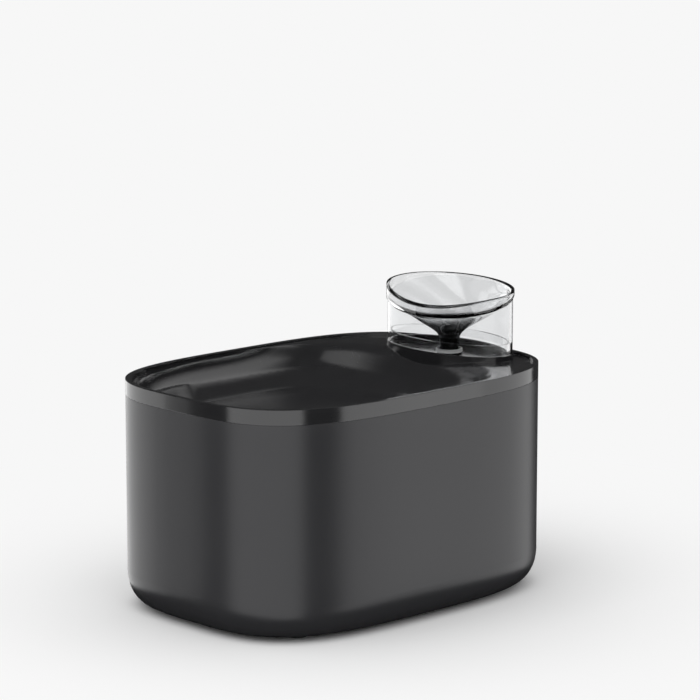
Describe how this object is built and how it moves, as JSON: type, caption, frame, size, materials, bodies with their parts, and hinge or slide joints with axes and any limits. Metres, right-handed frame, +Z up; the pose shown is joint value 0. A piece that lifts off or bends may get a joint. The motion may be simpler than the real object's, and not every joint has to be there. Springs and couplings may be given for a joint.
{
  "type": "pet water fountain",
  "caption": "Countertop pet water fountain: rounded charcoal tank, drinking tray with ramp, clear funnel spout on a riser tube, drop-in filter cassette and submersible pump.",
  "frame": {"origin": "on the surface that the rubber feet stand on, under the middle of the tank", "axes": "+Z up, +X along the tank's length to the spout end, -X to the filter end, +Y to the rear wall with the cable outlet"},
  "size_m": [0.23, 0.166, 0.1687],
  "materials": {
    "tank": "satin, fine texture, charcoal",
    "tray": "satin-gloss, charcoal",
    "cassette": "satin, charcoal",
    "rubber": "matte black",
    "silicone": "matte grey",
    "filter_plastic": "matte light grey",
    "felt": "soft grey-white felt",
    "carbon": "black granules",
    "smoke_clear": "clear moulded plastic with a faint smoke tint",
    "clear": "clear moulded plastic",
    "riser": "satin, pale grey",
    "pump": "satin black",
    "ceramic": "polished white ceramic",
    "magnet": "dark grey ferrite",
    "impeller": "moulded pale plastic"
  },
  "bodies": {
    "tank": {"tank_shell": "tank", "rubber_feet": "rubber", "outlet_grommet": "rubber", "pump_body": "pump", "pump_volute": "pump", "intake_screen": "pump", "suction_cups": "rubber", "rotor_shaft": "ceramic", "shaft_bushes": "rubber", "pump_gland": "rubber", "nipple_seal": "silicone"},
    "lid": {"lid_tray": "tray", "filter_housing": "tray", "drain_grille": "tray", "stem_seal": "silicone"},
    "cassette": {"cassette_frame": "cassette"},
    "filter": {"filter_frame": "filter_plastic", "filter_felt": "felt", "filter_carbon": "carbon", "filter_backing": "felt"},
    "spout": {"spout_bowl": "smoke_clear", "spout_shroud": "clear", "spout_stem": "clear", "spout_ring": "silicone"},
    "riser": {"riser_tube": "riser"},
    "rotor": {"rotor_magnet": "magnet", "impeller": "impeller"}
  },
  "joints": [
    {"name": "lid_lift", "type": "slide", "parent": "tank", "child": "lid", "axis": [0, 0, 1], "range_m": [0, 0.0925]},
    {"name": "spout_lift", "type": "slide", "parent": "lid", "child": "spout", "axis": [0, 0, 1], "range_m": [0, 0.0205]},
    {"name": "cassette_drop", "type": "slide", "parent": "lid", "child": "cassette", "axis": [0, 0, -1], "range_m": [0, 0.04]},
    {"name": "filter_drop", "type": "slide", "parent": "lid", "child": "filter", "axis": [0, 0, -1], "range_m": [0, 0.0215]},
    {"name": "riser_lift", "type": "slide", "parent": "tank", "child": "riser", "axis": [0, 0, 1], "range_m": [0, 0.0507]},
    {"name": "rotor_spin", "type": "hinge", "parent": "tank", "child": "rotor", "pos_m": [0.07, 0, 0.025], "axis": [1, 0, 0], "continuous": true}
  ],
  "couplings": [
    {"joint": "filter_drop", "follows": "cassette_drop", "ratio": 0.5375},
    {"joint": "riser_lift", "follows": "lid_lift", "ratio": 0.548}
  ]
}
